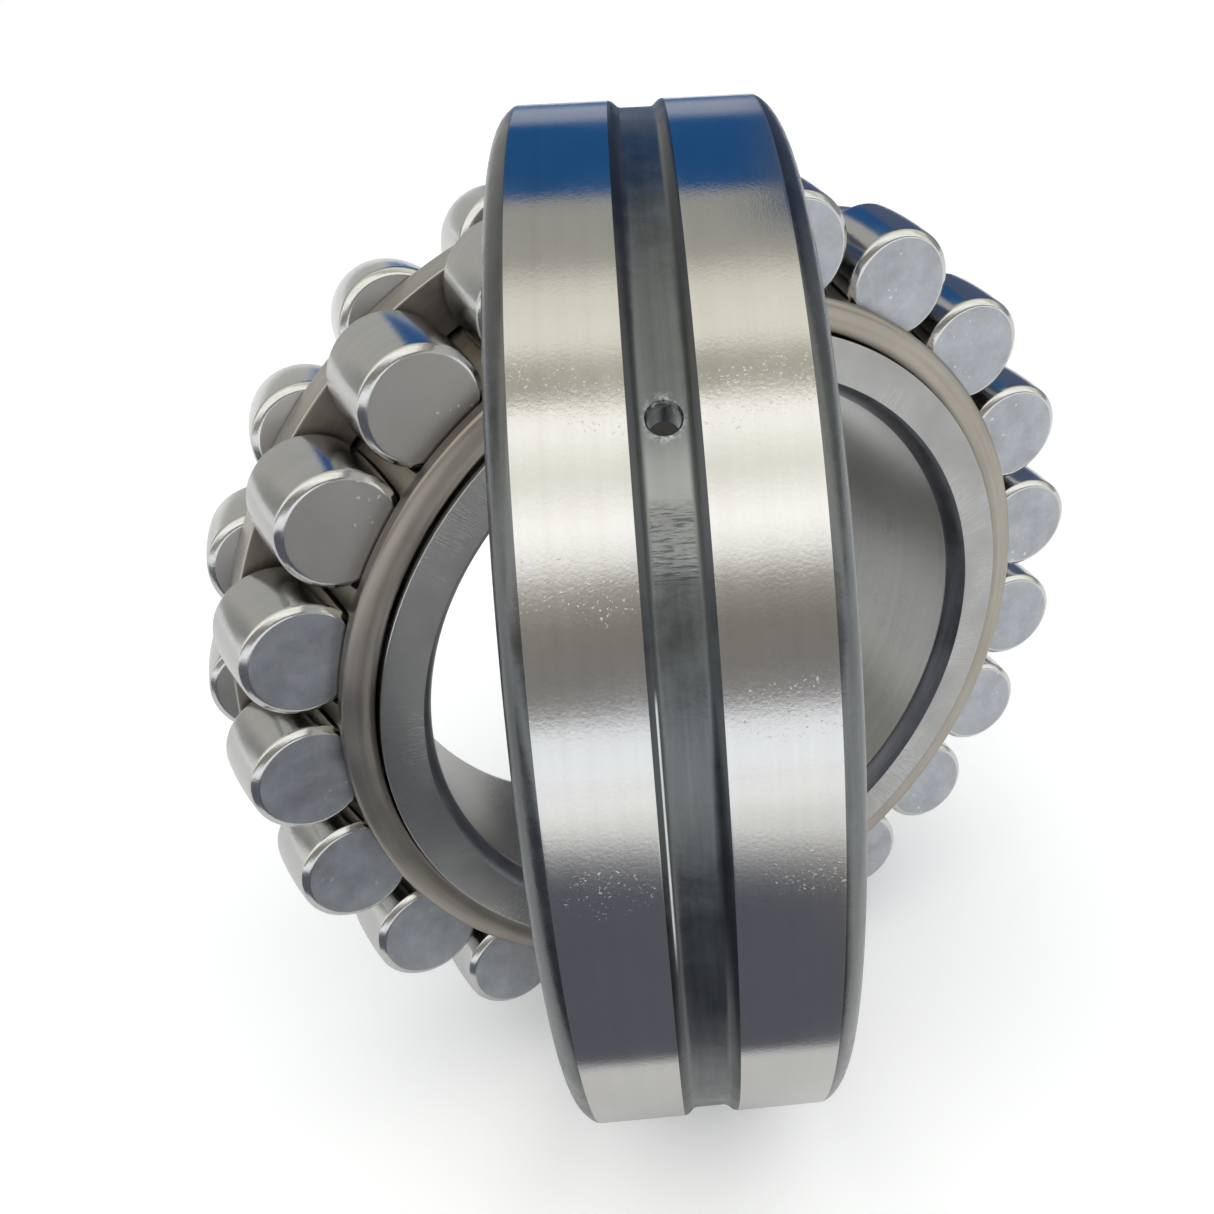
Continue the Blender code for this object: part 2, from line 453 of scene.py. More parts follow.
# Oil in the groove, as start, full, still full and end: angles from the top in radians for the
# film, the rills in it and the painted highlight line along the brink, and that line's places along the
# axis
FILM_ANGLES = [math.radians(degrees) for degrees in (43, 49, 54, 57)]
RILL_ANGLES = [math.radians(degrees) for degrees in (49.5, 52, 55.5, 57.5)]
HIGHLIGHT_LINE_ANGLES = [math.radians(degrees) for degrees in (64, 66, 84, 90)]
HIGHLIGHT_LINE_PLACE = (-0.00262, -0.00252, -0.00244, -0.00234)

# Places from the groove's middle where the film and the rills end and where the painted shade on the walls
# begins
FILM_EDGE = (0.0021, 0.0017)
RILL_EDGE = (0.0020, 0.0017)
WALL_SHADE_EDGE = (0.0020, 0.0024)
# Colour of the painted shade on the groove's walls
PAINTED_WALL_SHADE_COLOUR = (0.035, 0.04, 0.045)
FILM_COLOUR = (0.60, 0.61, 0.60)
TROUGH_COLOUR = (0.045, 0.05, 0.055)
# Light colour of the oil and burrs round each hole, standing for painted highlights on them, and of the
# painted highlight line along the brink
OIL_AND_HIGHLIGHT_COLOUR = (0.80, 0.82, 0.84)

# How far a drop's outline strays, in metres
DROP_WANDER = 0.0007

# Half sizes, across and round the ring, of a patch of spatter and of the oil round a hole, which also
# carries painted highlights
SPATTER_SIZE = (0.0058, 0.0036)
HOLE_OIL_AND_HIGHLIGHT_SIZE = (0.0023, 0.0027)

# Each roller's finish is shifted along its axis by its number times the tone step, in metres, and
# turned by the turn step, in radians. The ends of the third and fourth roller of the front row and of the
# whole rear row, from number 22 on, get a warmer grey as a painted reflection tint
ROLLER_TONE_STEP = 0.04
ROLLER_TURN_STEP = 2.4
REFLECTION_TINT_ROLLERS = (2.4, 2.6, 4.4, 4.6)
REFLECTION_TINT_ROW = (21.4, 21.6)
PAINTED_REFLECTION_TINT = (0.475, 0.445, 0.415)
SCUFF_COLOUR = (0.90, 0.92, 0.95)

# Depth in metres that the bump of a fine and of a coarser finish stands for
FINE_DEPTH = 0.00002
COARSE_DEPTH = 0.00003


def new_metal(name, colour, roughness):
    material = bpy.data.materials.new(name)
    material.use_nodes = True
    tree = material.node_tree
    shader = tree.nodes["Principled BSDF"]
    shader.inputs["Base Color"].default_value = (*colour, 1)
    shader.inputs["Roughness"].default_value = roughness
    shader.inputs["Metallic"].default_value = 1
    return material, tree, shader


def node(tree, kind, **settings):
    made = tree.nodes.new(kind)
    for name, value in settings.items():
        setattr(made, name, value)
    return made


def math_node(tree, operation, first, second):
    made = node(tree, "ShaderNodeMath", operation=operation)
    for index, value in enumerate((first, second)):
        if isinstance(value, (int, float)):
            made.inputs[index].default_value = value
        else:
            tree.links.new(value, made.inputs[index])
    return made.outputs[0]


def times(tree, first, second):
    return math_node(tree, "MULTIPLY", first, second)


def plus(tree, first, second):
    return math_node(tree, "ADD", first, second)


def larger(tree, first, second):
    return math_node(tree, "MAXIMUM", first, second)


def turned_place(tree):
    return node(tree, "ShaderNodeAttribute", attribute_name="turned_place").outputs["Vector"]


def separated(tree, vector):
    """A vector's X, Y and Z."""
    split = node(tree, "ShaderNodeSeparateXYZ")
    tree.links.new(vector, split.inputs[0])
    return split.outputs["X"], split.outputs["Y"], split.outputs["Z"]


def combined(tree, *values):
    """A vector of the given X, Y and, if there is one, Z."""
    made = node(tree, "ShaderNodeCombineXYZ")
    for index, value in enumerate(values):
        tree.links.new(value, made.inputs[index])
    return made.outputs[0]


def vector_length(tree, vector):
    length = node(tree, "ShaderNodeVectorMath", operation="LENGTH")
    tree.links.new(vector, length.inputs[0])
    return length.outputs["Value"]


def noise(tree, vector, scale, detail=2.0, roughness=0.5):
    texture = node(tree, "ShaderNodeTexNoise")
    texture.inputs["Scale"].default_value = scale
    texture.inputs["Detail"].default_value = detail
    texture.inputs["Roughness"].default_value = roughness
    tree.links.new(vector, texture.inputs["Vector"])
    return texture.outputs["Fac"]


def turning_lines(tree, fineness, wander):
    """Noise drawn out along the turning direction: fine across it, slow along it."""
    x, y, z = separated(tree, turned_place(tree))
    from_axis = vector_length(tree, combined(tree, x, y))
    drift = plus(tree, times(tree, x, wander), times(tree, y, wander * 0.8))
    return noise(tree, combined(tree, from_axis, z, drift), fineness, 3.0, 0.6)


def radial_strokes(tree, round_count, along):
    """Noise drawn out from the axis outwards: fine round the axis, slow along the radius."""
    x, y, _ = separated(tree, turned_place(tree))
    flat = combined(tree, x, y)
    pointing = node(tree, "ShaderNodeVectorMath", operation="NORMALIZE")
    tree.links.new(flat, pointing.inputs[0])
    many = node(tree, "ShaderNodeVectorMath", operation="SCALE")
    many.inputs["Scale"].default_value = round_count
    tree.links.new(pointing.outputs[0], many.inputs[0])
    out_x, out_y, _ = separated(tree, many.outputs[0])
    outwards = times(tree, vector_length(tree, flat), along)
    return noise(tree, combined(tree, out_x, out_y, outwards), 1.0, 3.0, 0.6)


def spread(tree, value, low, high):
    """Map a noise value's middle range to low..high."""
    mapped = node(tree, "ShaderNodeMapRange")
    mapped.inputs["From Min"].default_value = 0.3
    mapped.inputs["From Max"].default_value = 0.7
    mapped.inputs["To Min"].default_value = low
    mapped.inputs["To Max"].default_value = high
    tree.links.new(value, mapped.inputs["Value"])
    return mapped.outputs["Result"]


def blend(tree, share, first, second):
    """One colour moved towards another by a share; each is a plain colour or another node's."""
    mix = node(tree, "ShaderNodeMix", data_type="RGBA")
    tree.links.new(share, mix.inputs["Factor"])
    for colour, socket in ((first, mix.inputs["A"]), (second, mix.inputs["B"])):
        if isinstance(colour, tuple):
            socket.default_value = (*colour, 1)
        else:
            tree.links.new(colour, socket)
    return mix.outputs["Result"]


def tint(tree, shader, value, dark, light):
    """Colour that moves between two tints with a noise value."""
    tree.links.new(blend(tree, spread(tree, value, 0, 1), dark, light), shader.inputs["Base Color"])


def mix_colour(tree, shader, share, colour):
    """Move the shader's colour towards another by a share."""
    base = shader.inputs["Base Color"]
    tree.links.new(blend(tree, share, base.links[0].from_socket, colour), base)


def bump(tree, shader, heights, distance, strength):
    """Raise the surface by the sum of the given noise values."""
    total = heights[0]
    for height in heights[1:]:
        total = plus(tree, total, height)
    made = node(tree, "ShaderNodeBump")
    made.inputs["Distance"].default_value = distance
    made.inputs["Strength"].default_value = strength
    tree.links.new(total, made.inputs["Height"])
    tree.links.new(made.outputs["Normal"], shader.inputs["Normal"])


def drops(tree, fineness, where):
    """Small uneven oil drops: 1 on a drop, 0 elsewhere, kept to the places given by where."""
    place = turned_place(tree)
    wander = node(tree, "ShaderNodeTexNoise")
    wander.inputs["Scale"].default_value = fineness * 1.3
    tree.links.new(place, wander.inputs["Vector"])
    moved = node(tree, "ShaderNodeVectorMath", operation="MULTIPLY_ADD")
    moved.inputs[1].default_value = (DROP_WANDER, DROP_WANDER, DROP_WANDER)
    tree.links.new(wander.outputs["Color"], moved.inputs[0])
    tree.links.new(place, moved.inputs[2])
    cells = node(tree, "ShaderNodeTexVoronoi", feature="F1")
    cells.inputs["Scale"].default_value = fineness
    tree.links.new(moved.outputs[0], cells.inputs["Vector"])
    near = ease(tree, cells.outputs["Distance"], 0.30, 0.14)
    tone = node(tree, "ShaderNodeSeparateColor")
    tree.links.new(cells.outputs["Color"], tone.inputs[0])
    chosen = ease(tree, tone.outputs[0], 0.78, 0.83)
    return times(tree, times(tree, near, where), chosen)


def round_spots(tree, spots, turned_r, wide, tall):
    """1 near any of the spots, given as (angle in degrees, height), fading to 0 away from them."""
    total = None
    for degrees, height in spots:
        angle = math.radians(degrees)
        away = node(tree, "ShaderNodeVectorMath", operation="SUBTRACT")
        away.inputs[1].default_value = (turned_r * math.cos(angle), turned_r * math.sin(angle), height)
        tree.links.new(turned_place(tree), away.inputs[0])
        squeezed = node(tree, "ShaderNodeVectorMath", operation="MULTIPLY")
        squeezed.inputs[1].default_value = (1 / tall, 1 / tall, 1 / wide)
        tree.links.new(away.outputs[0], squeezed.inputs[0])
        spot = ease(tree, vector_length(tree, squeezed.outputs[0]), 1.0, 0.25)
        total = spot if total is None else larger(tree, total, spot)
    return total


def ease(tree, value, start, end):
    """0 at start and 1 at end, with a soft turn at both."""
    eased = node(tree, "ShaderNodeMapRange", interpolation_type="SMOOTHSTEP")
    eased.inputs["From Min"].default_value = start
    eased.inputs["From Max"].default_value = end
    tree.links.new(value, eased.inputs["Value"])
    return eased.outputs["Result"]


def between(tree, value, start, full, still_full, end):
    """1 from full to still_full, fading to 0 at start and at end."""
    return times(tree, ease(tree, value, start, full), ease(tree, value, end, still_full))


def stretched(tree, around, height):
    """Coordinates for marks that lie across the groove: fine round the ring, slow along its axis."""
    return combined(tree, times(tree, around, 270), times(tree, height, 450))


def ground_steel(name, dark, light, roughness, line_strength, oil_spots):
    """Fine-ground steel: hairline marks round it, fine grain and a thin uneven film of oil."""
    material, tree, shader = new_metal(name, light, roughness)
    lines = turning_lines(tree, 5200, 0.012)
    broad = turning_lines(tree, 800, 0.02)
    film = noise(tree, turned_place(tree), 70, 5.0, 0.6)
    grain = noise(tree, turned_place(tree), 2800, 3.0, 0.6)
    tone = plus(tree, times(tree, broad, 0.4), times(tree, film, 0.6))
    tint(tree, shader, tone, dark, light)
    patch = plus(tree, spread(tree, film, -0.04, 0.04), spread(tree, grain, -0.02, 0.03))
    wet = plus(tree, patch, roughness)
    tree.links.new(wet, shader.inputs["Roughness"])
    heights = [lines, times(tree, grain, 1.6), times(tree, film, 4.0)]
    if oil_spots:
        where = round_spots(tree, oil_spots, OUTER_R, *SPATTER_SIZE)
        edges = noise(tree, turned_place(tree), 420, 3.0)
        ragged = ease(tree, plus(tree, where, edges), 0.72, 1.1)
        fine = drops(tree, 3600, ragged)
        coarse = drops(tree, 2100, ragged)
        heights += [times(tree, fine, 6.0), times(tree, coarse, 8.0)]
        dull = times(tree, larger(tree, fine, coarse), 0.22)
        tree.links.new(plus(tree, wet, dull), shader.inputs["Roughness"])
    bump(tree, shader, heights, FINE_DEPTH, line_strength)
    return material


def dark_steel(name, dark, light, roughness, hole_angles):
    """Unground, heat-darkened steel of the groove, the corners and the chamfers."""
    material, tree, shader = new_metal(name, light, roughness)
    streaks = turning_lines(tree, 900, 0.10)
    cloud = noise(tree, turned_place(tree), 200, 5.0, 0.65)
    tint(tree, shader, times(tree, plus(tree, streaks, cloud), 0.5), dark, light)
    tree.links.new(spread(tree, cloud, roughness - 0.09, roughness + 0.09), shader.inputs["Roughness"])
    ripples = times(tree, noise(tree, turned_place(tree), 420, 2.0), 3.0)
    heights = [streaks, noise(tree, turned_place(tree), 2600, 3.0), ripples]
    if hole_angles:
        heights += oil_groove(tree, shader, hole_angles)
    bump(tree, shader, heights, COARSE_DEPTH, 0.35)
    return material


def oil_groove(tree, shader, hole_angles):
    """Paint shade on the groove's walls and lay oil in it, with painted highlights on the oil round each
    hole and a painted highlight line along part of one brink; returns how high the oil stands.
    """
    spots = [(math.degrees(angle), 0) for angle in hole_angles]
    rim = round_spots(tree, spots, GROOVE_FLOOR_R, *HOLE_OIL_AND_HIGHLIGHT_SIZE)
    burrs = noise(tree, turned_place(tree), 1700, 3.0, 0.7)
    # Oil and burrs round each hole, lightened in colour as painted highlights
    wet = times(tree, rim, ease(tree, burrs, 0.44, 0.62))
    x, y, place = separated(tree, turned_place(tree))
    around = math_node(tree, "ARCTAN2", y, x)
    aside = math_node(tree, "ABSOLUTE", place, 0.0)
    film = times(tree, between(tree, around, *FILM_ANGLES), ease(tree, aside, *FILM_EDGE))
    # A painted highlight: a thin bright line along the brink, painted into the colour
    painted_highlight_line = times(tree, between(tree, around, *HIGHLIGHT_LINE_ANGLES), between(tree, place, *HIGHLIGHT_LINE_PLACE))
    painted_wall_shade = times(tree, ease(tree, aside, *WALL_SHADE_EDGE), 0.62)
    rills = noise(tree, stretched(tree, around, place), 1.0, 3.0, 0.6)
    rill_range = between(tree, around, *RILL_ANGLES)
    rilled = times(tree, rills, rill_range)
    on_floor = times(tree, rill_range, ease(tree, aside, *RILL_EDGE))
    troughs = times(tree, ease(tree, rills, 0.49, 0.60), on_floor)
    # Painted shade: the groove's walls are darkened in colour
    mix_colour(tree, shader, painted_wall_shade, PAINTED_WALL_SHADE_COLOUR)
    mix_colour(tree, shader, times(tree, film, 0.36), FILM_COLOUR)
    mix_colour(tree, shader, times(tree, troughs, 0.62), TROUGH_COLOUR)
    # Painted highlights: the oil round the holes and the line along the brink are lightened in colour
    mix_colour(tree, shader, larger(tree, wet, painted_highlight_line), OIL_AND_HIGHLIGHT_COLOUR)
    return [times(tree, wet, 6.0), times(tree, times(tree, rilled, film), 24.0)]


def face_steel(name, dark, light, roughness):
    """Flat ground side face: short strokes across it and a mottled film of oil."""
    material, tree, shader = new_metal(name, light, roughness)
    strokes = radial_strokes(tree, 230, 260)
    rings = turning_lines(tree, 2600, 0.02)
    film = noise(tree, turned_place(tree), 110, 4.0)
    patches = ease(tree, film, 0.42, 0.62)
    marks = times(tree, math_node(tree, "SUBTRACT", strokes, 0.5), patches)
    tone = plus(tree, times(tree, marks, 0.8), film)
    tint(tree, shader, tone, dark, light)
    tree.links.new(spread(tree, tone, roughness + 0.05, roughness - 0.05), shader.inputs["Roughness"])
    bump(tree, shader, [times(tree, marks, 2.0), rings], FINE_DEPTH, 0.25)
    return material


def satin_steel(name, dark, light, roughness):
    """Satin roller end: soft blotches, a few specks and hardly any marks."""
    material, tree, shader = new_metal(name, light, roughness)
    cloud = noise(tree, turned_place(tree), 260, 6.0, 0.68)
    grain = noise(tree, turned_place(tree), 2600, 3.0, 0.6)
    tint(tree, shader, cloud, dark, light)
    tree.links.new(spread(tree, cloud, roughness - 0.05, roughness + 0.06), shader.inputs["Roughness"])
    patches = ease(tree, noise(tree, turned_place(tree), 95, 2.0), 0.54, 0.62)
    scuffs = drops(tree, 1100, patches)
    _, _, along = separated(tree, turned_place(tree))
    number = math_node(tree, "DIVIDE", along, ROLLER_TONE_STEP)
    # Painted reflection: the ends of the chosen rollers are tinted a warmer grey
    warm = larger(tree, between(tree, number, *REFLECTION_TINT_ROLLERS), ease(tree, number, *REFLECTION_TINT_ROW))
    mix_colour(tree, shader, times(tree, warm, 0.75), PAINTED_REFLECTION_TINT)
    mix_colour(tree, shader, times(tree, scuffs, 0.6), SCUFF_COLOUR)
    bump(tree, shader, [grain, cloud, times(tree, scuffs, 6.0)], FINE_DEPTH, 0.4)
    return material


def pressed_steel(name, dark, light, roughness):
    """Pressed sheet steel with a soft, slightly rough skin and draw marks round the rim."""
    material, tree, shader = new_metal(name, light, roughness)
    skin = noise(tree, turned_place(tree), 1800, 4.0, 0.6)
    cloud = noise(tree, turned_place(tree), 130, 4.0)
    draw = turning_lines(tree, 1300, 0.03)
    tint(tree, shader, times(tree, plus(tree, cloud, draw), 0.5), dark, light)
    tree.links.new(spread(tree, cloud, roughness - 0.05, roughness + 0.08), shader.inputs["Roughness"])
    bump(tree, shader, [skin, draw], COARSE_DEPTH, 0.3)
    return material


# ---------------------------------------------------------------- pieces

# Spatter on the outer ring, as (angle from the top in degrees, place along its axis)
OIL_SPOTS = [
    (41.3, 0.0112), (42, 0.0088), (42.4, 0.0064), (43, 0.0045), (42.8, -0.0060), (41, -0.0105),
    (56, -0.0105), (57, -0.0065), (66, 0.0118), (66.5, 0.0080), (80.5, -0.0080), (80, 0.0100),
]
ground_band = ground_steel("ground_band", (0.58, 0.57, 0.555), (0.65, 0.645, 0.63), 0.12, 0.22, OIL_SPOTS)
raceway_steel = ground_steel("polished_raceway", (0.54, 0.54, 0.54), (0.62, 0.62, 0.62), 0.12, 0.12, [])
side_face = face_steel("ground_side_face", (0.335, 0.337, 0.335), (0.45, 0.453, 0.45), 0.30)
bore_steel = ground_steel("ground_bore", (0.33, 0.33, 0.32), (0.41, 0.41, 0.40), 0.30, 0.20, [])
slate_steel = dark_steel("slate_groove", (0.115, 0.126, 0.130), (0.22, 0.236, 0.243), 0.34, OIL_HOLE_ANGLES)
corner_steel = dark_steel("slate_corner", (0.115, 0.122, 0.127), (0.205, 0.217, 0.225), 0.26, [])
chamfer_steel = dark_steel("dark_bore_chamfer", (0.11, 0.115, 0.135), (0.20, 0.205, 0.235), 0.36, [])
roller_body = ground_steel("polished_roller", (0.56, 0.56, 0.55), (0.65, 0.65, 0.64), 0.17, 0.30, [])
roller_end = satin_steel("satin_roller_end", (0.34, 0.355, 0.385), (0.52, 0.545, 0.595), 0.44)
cage_steel = pressed_steel("pressed_cage_steel", (0.31, 0.28, 0.24), (0.45, 0.42, 0.38), 0.36)
guide_steel = pressed_steel("turned_guide_edge", (0.46, 0.43, 0.39), (0.60, 0.58, 0.54), 0.32)
# The guide ring's side faces get a darker copy of its steel: painted shade
shaded_guide_side = pressed_steel("painted_shade_guide_side", (0.22, 0.19, 0.165), (0.34, 0.31, 0.28), 0.40)


def finish_piece(piece, body, slot, *replaced):
    """Hang a piece on its body and hide the CAD nodes it stands for."""
    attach(piece, body)
    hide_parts(*replaced)


def make_outer_ring():
    ring = turn_ring("outer_ring_fine", outer_ring_section(), RING_SIDES)
    middle = (OUTER_R + SPHERE_R) / 2
    drill_section = [
        (OIL_HOLE_R, -DRILL_REACH),
        (OIL_HOLE_R, GROOVE_FLOOR_R - middle - HOLD),
        (OIL_HOLE_FLARE_R, GROOVE_FLOOR_R - middle),
        (OIL_HOLE_FLARE_R, DRILL_REACH),
    ]
    into_wall = Matrix.Translation((middle, 0, 0)) @ Matrix.Rotation(math.pi / 2, 4, "Y")
    for angle in OIL_HOLE_ANGLES:
        drill = turn_plug("oil_drill", drill_section, HOLE_SIDES)
        lay(drill, Matrix.Rotation(angle, 4, "Z") @ into_wall)
        cut(ring, drill)
    smooth(ring)
    store_turned_place(ring)
    band_top = HALF_WIDTH - CORNER_AXIAL

    def choose(centre, normal):
        radius = math.hypot(centre.x, centre.y)
        if radius > OUTER_R - 2 * HAIR and GROOVE_TOP_HALF < abs(centre.z) < band_top:
            return 0
        if abs(centre.z) > HALF_WIDTH - HAIR:
            return 1
        if normal.x * centre.x + normal.y * centre.y < 0 and radius < SPHERE_R + 2 * HAIR:
            return 2
        return 3 if abs(centre.z) < band_top else 4

    paint_by(ring, [ground_band, side_face, raceway_steel, slate_steel, corner_steel], choose)
    lay(ring, OUTER_PLACE)
    finish_piece(ring, "outer_ring", "ground_ring", "outer_ring")


def make_inner_ring():
    ring = turn_ring("inner_ring_fine", inner_ring_section(), RING_SIDES)
    smooth(ring)
    store_turned_place(ring)

    def choose(centre, normal):
        radius = math.hypot(centre.x, centre.y)
        if abs(centre.z) > HALF_WIDTH - HAIR:
            return 0
        if radius < BORE_R + HAIR:
            return 1
        if radius < BORE_CHAMFER_R:
            return 3
        return 2

    paint_by(ring, [side_face, bore_steel, raceway_steel, chamfer_steel], choose)
    lay(ring, INNER_PLACE)
    finish_piece(ring, "inner_ring", "inner_ring", "inner_ring")


def make_guide_ring():
    ring = turn_ring("guide_ring_fine", guide_ring_section(), CAGE_SIDES)
    smooth(ring)
    store_turned_place(ring)

    def choose(centre, normal):
        return 1 if abs(normal.z) > SIDE_FACING else 0

    # Side faces take the darker copy of the steel, which is painted shade
    paint_by(ring, [guide_steel, shaded_guide_side], choose)
    lay(ring, INNER_PLACE)
    finish_piece(ring, "guide_ring", "guide_ring", "guide_ring")


def make_cage(row, side, roller_names):
    cage = turn_ring(row + "_cage_fine", cage_section(), CAGE_SIDES)
    window_section = barrel_section(WINDOW_CLEARANCE, WINDOW_CORNER, WINDOW_CORNER, 8, 1)
    window = turn_plug("window", window_section, WINDOW_SIDES)
    if side < 0:
        lay(cage, Matrix.Rotation(math.pi, 4, "X"))
    to_cage = INNER_PLACE.inverted()
    windows = []
    for name in roller_names:
        copied = copy_piece(window, "window_" + name)
        lay(copied, to_cage @ roller_place(name))
        windows.append(copied)
    bpy.data.objects.remove(window)
    cut(cage, join_pieces(windows, row + "_windows"))
    smooth(cage)
    store_turned_place(cage)
    cage.data.materials.clear()
    cage.data.materials.append(cage_steel)
    lay(cage, INNER_PLACE)
    finish_piece(cage, row + "_cage", "cage", row + "_cage")


def make_rollers(names):
    section = barrel_section(0.0, ROLLER_CORNER, ROLLER_CORNER_AXIAL, CROWN_STEPS, 4)
    roller = turn_plug("roller_fine", section, ROLLER_SIDES)
    smooth(roller)
    end_height = ROLLER_HALF_LENGTH - HAIR

    def choose(centre, normal):
        return 1 if abs(centre.z) > end_height else 0

    paint_by(roller, [roller_body, roller_end], choose)
    for index, name in enumerate(names):
        copied = copy_piece(roller, name + "_fine")
        store_turned_place(copied, ROLLER_TONE_STEP * (index + 1))
        lay(copied, roller_place(name) @ Matrix.Rotation(index * ROLLER_TURN_STEP, 4, "Z"))
        finish_piece(copied, name, "roller", name)
    bpy.data.objects.remove(roller)


front_names = [f"front_roller_{index + 1:02d}" for index in range(ROLLERS_PER_ROW)]
rear_names = [f"rear_roller_{index + 1:02d}" for index in range(ROLLERS_PER_ROW)]
make_outer_ring()
make_inner_ring()
make_guide_ring()
make_cage("front", 1, front_names)
make_cage("rear", -1, rear_names)
make_rollers(front_names + rear_names)

# ---------------------------------------------------------------- stage

FLOOR_HEIGHT = cad_low.z
FLOOR_SIZE = 8
FLAG_SIZE = 1.2
FLAG_CLEARANCE = 0.0005
FLAG_COOL = (0.125, 0.132, 0.16)
FLAG_WARM = (0.27, 0.235, 0.18)


def plain(name, colour, roughness):
    material = bpy.data.materials.new(name)
    material.use_nodes = True
    shader = material.node_tree.nodes["Principled BSDF"]
    shader.inputs["Base Color"].default_value = (*colour, 1)
    shader.inputs["Roughness"].default_value = roughness
    return material


def make_floor():
    """A pale floor that brightens away from the bearing and looks nearly white from the camera."""
    deselect_all()
    bpy.ops.mesh.primitive_plane_add(size=FLOOR_SIZE, location=(0, 0, FLOOR_HEIGHT))
    floor = bpy.context.active_object
    floor.name = "floor"
    material = plain("pale_floor", (0.93, 0.94, 0.96), 0.6)
    tree = material.node_tree
    shader = tree.nodes["Principled BSDF"]
    place = node(tree, "ShaderNodeTexCoord")
    _, y, _ = separated(tree, place.outputs["Object"])
    distant = times(tree, ease(tree, y, -0.35, -0.90), 0.30)
    seen = node(tree, "ShaderNodeLightPath")
    behind = times(tree, ease(tree, y, 0.3, 2.5), 0.30)
    lifted = times(tree, seen.outputs["Is Camera Ray"], plus(tree, behind, 0.17))
    shader.inputs["Emission Color"].default_value = (0.93, 0.97, 1.0, 1)
    tree.links.new(larger(tree, distant, lifted), shader.inputs["Emission Strength"])
    floor.data.materials.append(material)


def make_flag():
    """A soft-edged dark card on the floor in front, seen only in reflections."""
    deselect_all()
    bpy.ops.mesh.primitive_plane_add(size=FLAG_SIZE, location=(0, 0, FLOOR_HEIGHT + FLAG_CLEARANCE))
    flag = bpy.context.active_object
    flag.name = "dark_flag"
    material = bpy.data.materials.new("dark_flag")
    material.use_nodes = True
    tree = material.node_tree
    tree.nodes.clear()
    output = node(tree, "ShaderNodeOutputMaterial")
    clear = node(tree, "ShaderNodeBsdfTransparent")
    dark = node(tree, "ShaderNodeEmission")
    mix = node(tree, "ShaderNodeMixShader")
    place = node(tree, "ShaderNodeTexCoord")
    x, y, _ = separated(tree, place.outputs["Object"])
    near = larger(tree, ease(tree, y, -0.0725, -0.0800), 0.22)
    far = ease(tree, math_node(tree, "SUBTRACT", y, times(tree, x, 0.85)), -0.445, -0.200)
    slant = plus(tree, x, times(tree, y, 0.8))
    right = ease(tree, slant, 0.045, -0.055)
    cover = times(tree, times(tree, near, far), right)
    tree.links.new(cover, mix.inputs["Fac"])
    tree.links.new(clear.outputs[0], mix.inputs[1])
    tree.links.new(dark.outputs[0], mix.inputs[2])
    warm = blend(tree, ease(tree, x, 0.020, 0.075), FLAG_COOL, FLAG_WARM)
    tree.links.new(warm, dark.inputs["Color"])
    tree.links.new(mix.outputs[0], output.inputs["Surface"])
    flag.data.materials.append(material)
    flag.visible_camera = False
    flag.visible_diffuse = False
    flag.visible_shadow = False
    flag.visible_transmission = False


# Soft walls and ceiling round the bearing: degrees up from the horizon in front, over the top
# to the horizon behind, with the light that comes from there
STUDIO_BANDS = [
    (0, (1.25, 1.30, 1.36)),
    (9, (1.20, 1.25, 1.30)),
    (14, (0.36, 0.34, 0.34)),
    (19, (0.28, 0.27, 0.26)),
    (30, (0.29, 0.27, 0.24)),
    (37.5, (0.48, 0.46, 0.41)),
    (43.7, (1.30, 1.29, 1.24)),
    (50, (1.58, 1.57, 1.52)),
    (60, (1.10, 1.09, 0.98)),
    (70, (1.50, 1.49, 1.40)),
    (73.7, (1.42, 1.40, 1.30)),
    (76.7, (0.55, 0.52, 0.44)),
    (83, (0.58, 0.56, 0.47)),
    (88, (1.12, 1.09, 0.98)),
    (100, (0.98, 0.96, 0.84)),
    (108, (0.47, 0.46, 0.41)),
    (125, (0.44, 0.44, 0.40)),
    (127, (0.02, 0.105, 0.29)),
    (157, (0.02, 0.100, 0.28)),
    (161, (0.30, 0.36, 0.48)),
    (171, (0.36, 0.40, 0.50)),
    (175, (0.07, 0.15, 0.33)),
    (180, (0.05, 0.13, 0.32)),
]
BAND_STRENGTH = 2.0

# The light that comes over the left side, behind, by its share of the way from left to middle,
# and the light of the right side
LEFT_BANDS = [
    (0.00, (0.95, 0.94, 0.90)),
    (0.05, (0.85, 0.84, 0.80)),
    (0.08, (0.30, 0.30, 0.29)),
    (0.13, (0.34, 0.34, 0.33)),
    (0.22, (0.52, 0.51, 0.47)),
    (0.70, (0.50, 0.50, 0.48)),
    (0.82, (0.56, 0.56, 0.53)),
]
RIGHT_LIGHT = (0.045, 0.062, 0.105)
FAR_RIGHT_LIGHT = (0.16, 0.17, 0.17)

# Where these take over: from this share of the way over the top, and past these places to the side
BEHIND = (0.60, 0.67)
LEFT_SIDE = (-0.16, -0.24)
RIGHT_SIDE = (0.095, 0.14)
FAR_RIGHT_SIDE = (0.55, 0.75)


def colour_ramp(tree, value, bands, strength):
    """The bands' light at a value between their places, divided by the strength put back later."""
    ramp = node(tree, "ShaderNodeValToRGB")
    stops = ramp.color_ramp.elements
    stops[0].position = 0
    stops[1].position = 1
    for _ in range(len(bands) - 2):
        stops.new(0.5)
    for stop, (position, light) in zip(stops, bands):
        stop.position = position
        stop.color = (*[channel / strength for channel in light], 1)
    tree.links.new(value, ramp.inputs["Fac"])
    return ramp.outputs["Color"]


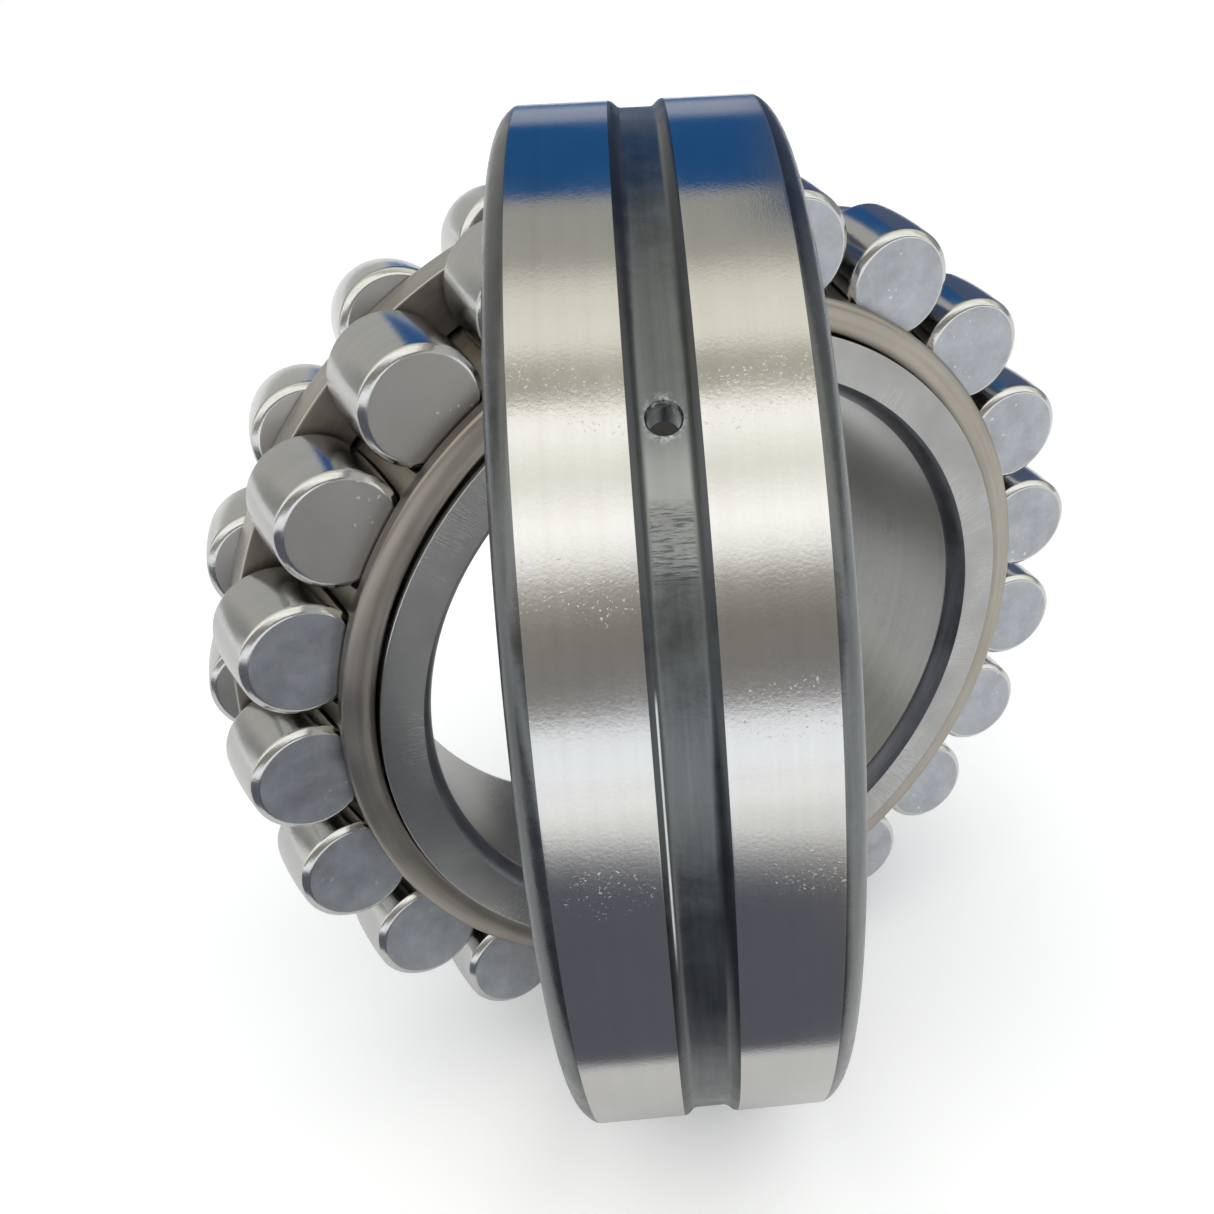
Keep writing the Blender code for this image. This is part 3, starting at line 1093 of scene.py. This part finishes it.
def make_world():
    world = bpy.data.worlds.new("studio")
    bpy.context.scene.world = world
    world.use_nodes = True
    tree = world.node_tree
    tree.nodes.clear()
    output = node(tree, "ShaderNodeOutputWorld")
    direction = node(tree, "ShaderNodeTexCoord")
    x, y, z = separated(tree, direction.outputs["Generated"])
    angle = math_node(tree, "ARCTAN2", z, times(tree, y, -1.0))
    share = math_node(tree, "DIVIDE", angle, math.pi)
    top_bands = [(degrees / 180, light) for degrees, light in STUDIO_BANDS]
    over_top = colour_ramp(tree, share, top_bands, BAND_STRENGTH)
    over_left = colour_ramp(tree, plus(tree, x, 1.0), LEFT_BANDS, BAND_STRENGTH)
    behind = ease(tree, share, *BEHIND)
    left = times(tree, behind, ease(tree, x, *LEFT_SIDE))
    right = times(tree, behind, ease(tree, x, *RIGHT_SIDE))
    far_right = times(tree, behind, ease(tree, x, *FAR_RIGHT_SIDE))
    light = blend(tree, left, over_top, over_left)
    light = blend(tree, right, light, RIGHT_LIGHT)
    light = blend(tree, far_right, light, FAR_RIGHT_LIGHT)
    bands = node(tree, "ShaderNodeBackground")
    bands.inputs["Strength"].default_value = BAND_STRENGTH
    tree.links.new(light, bands.inputs["Color"])
    backdrop = node(tree, "ShaderNodeBackground")
    backdrop.inputs["Color"].default_value = (1, 1, 1, 1)
    seen = node(tree, "ShaderNodeLightPath")
    mix = node(tree, "ShaderNodeMixShader")
    tree.links.new(seen.outputs["Is Camera Ray"], mix.inputs["Fac"])
    tree.links.new(bands.outputs[0], mix.inputs[1])
    tree.links.new(backdrop.outputs[0], mix.inputs[2])
    tree.links.new(mix.outputs[0], output.inputs["Surface"])


TOP_LIGHT_SIZE = 4
TOP_LIGHT_WATTS = 42
TOP_LIGHT_PLACE = (0.2, -0.5, 2.5)


def make_fill_light():
    """A broad soft light overhead that brightens the floor and stays out of the reflections."""
    light = bpy.data.lights.new("soft_top_light", "AREA")
    light.shape = "SQUARE"
    light.size = TOP_LIGHT_SIZE
    light.energy = TOP_LIGHT_WATTS
    lamp = bpy.data.objects.new("soft_top_light", light)
    lamp.location = TOP_LIGHT_PLACE
    lamp.visible_glossy = False
    bpy.context.scene.collection.objects.link(lamp)


# The camera's place in metres, its aim in radians, and its lens in millimetres on a 36 mm frame
CAMERA_PLACE = (-0.0016, -0.1357, 0.0816)
CAMERA_TURN = math.radians(-3.52)
CAMERA_TILT = math.radians(90 - 33.88)
CAMERA_ROLL = math.radians(-2.40)
CAMERA_FRAME = 36
CAMERA_LENS = 33.36
CAMERA_SHIFT = (-0.0946, 0.0529)
CAMERA_CLIP = 0.01


def make_camera():
    camera = bpy.data.cameras.new("camera")
    camera.sensor_width = CAMERA_FRAME
    camera.lens = CAMERA_LENS
    camera.shift_x, camera.shift_y = CAMERA_SHIFT
    camera.clip_start = CAMERA_CLIP
    holder = bpy.data.objects.new("camera", camera)
    turn = Matrix.Rotation(CAMERA_TURN, 4, "Z")
    tilt = Matrix.Rotation(CAMERA_TILT, 4, "X")
    roll = Matrix.Rotation(CAMERA_ROLL, 4, "Z")
    holder.matrix_world = Matrix.Translation(CAMERA_PLACE) @ turn @ tilt @ roll
    bpy.context.scene.collection.objects.link(holder)
    bpy.context.scene.camera = holder


make_floor()
make_flag()
make_world()
make_fill_light()
make_camera()
bpy.context.scene.view_settings.view_transform = "Standard"
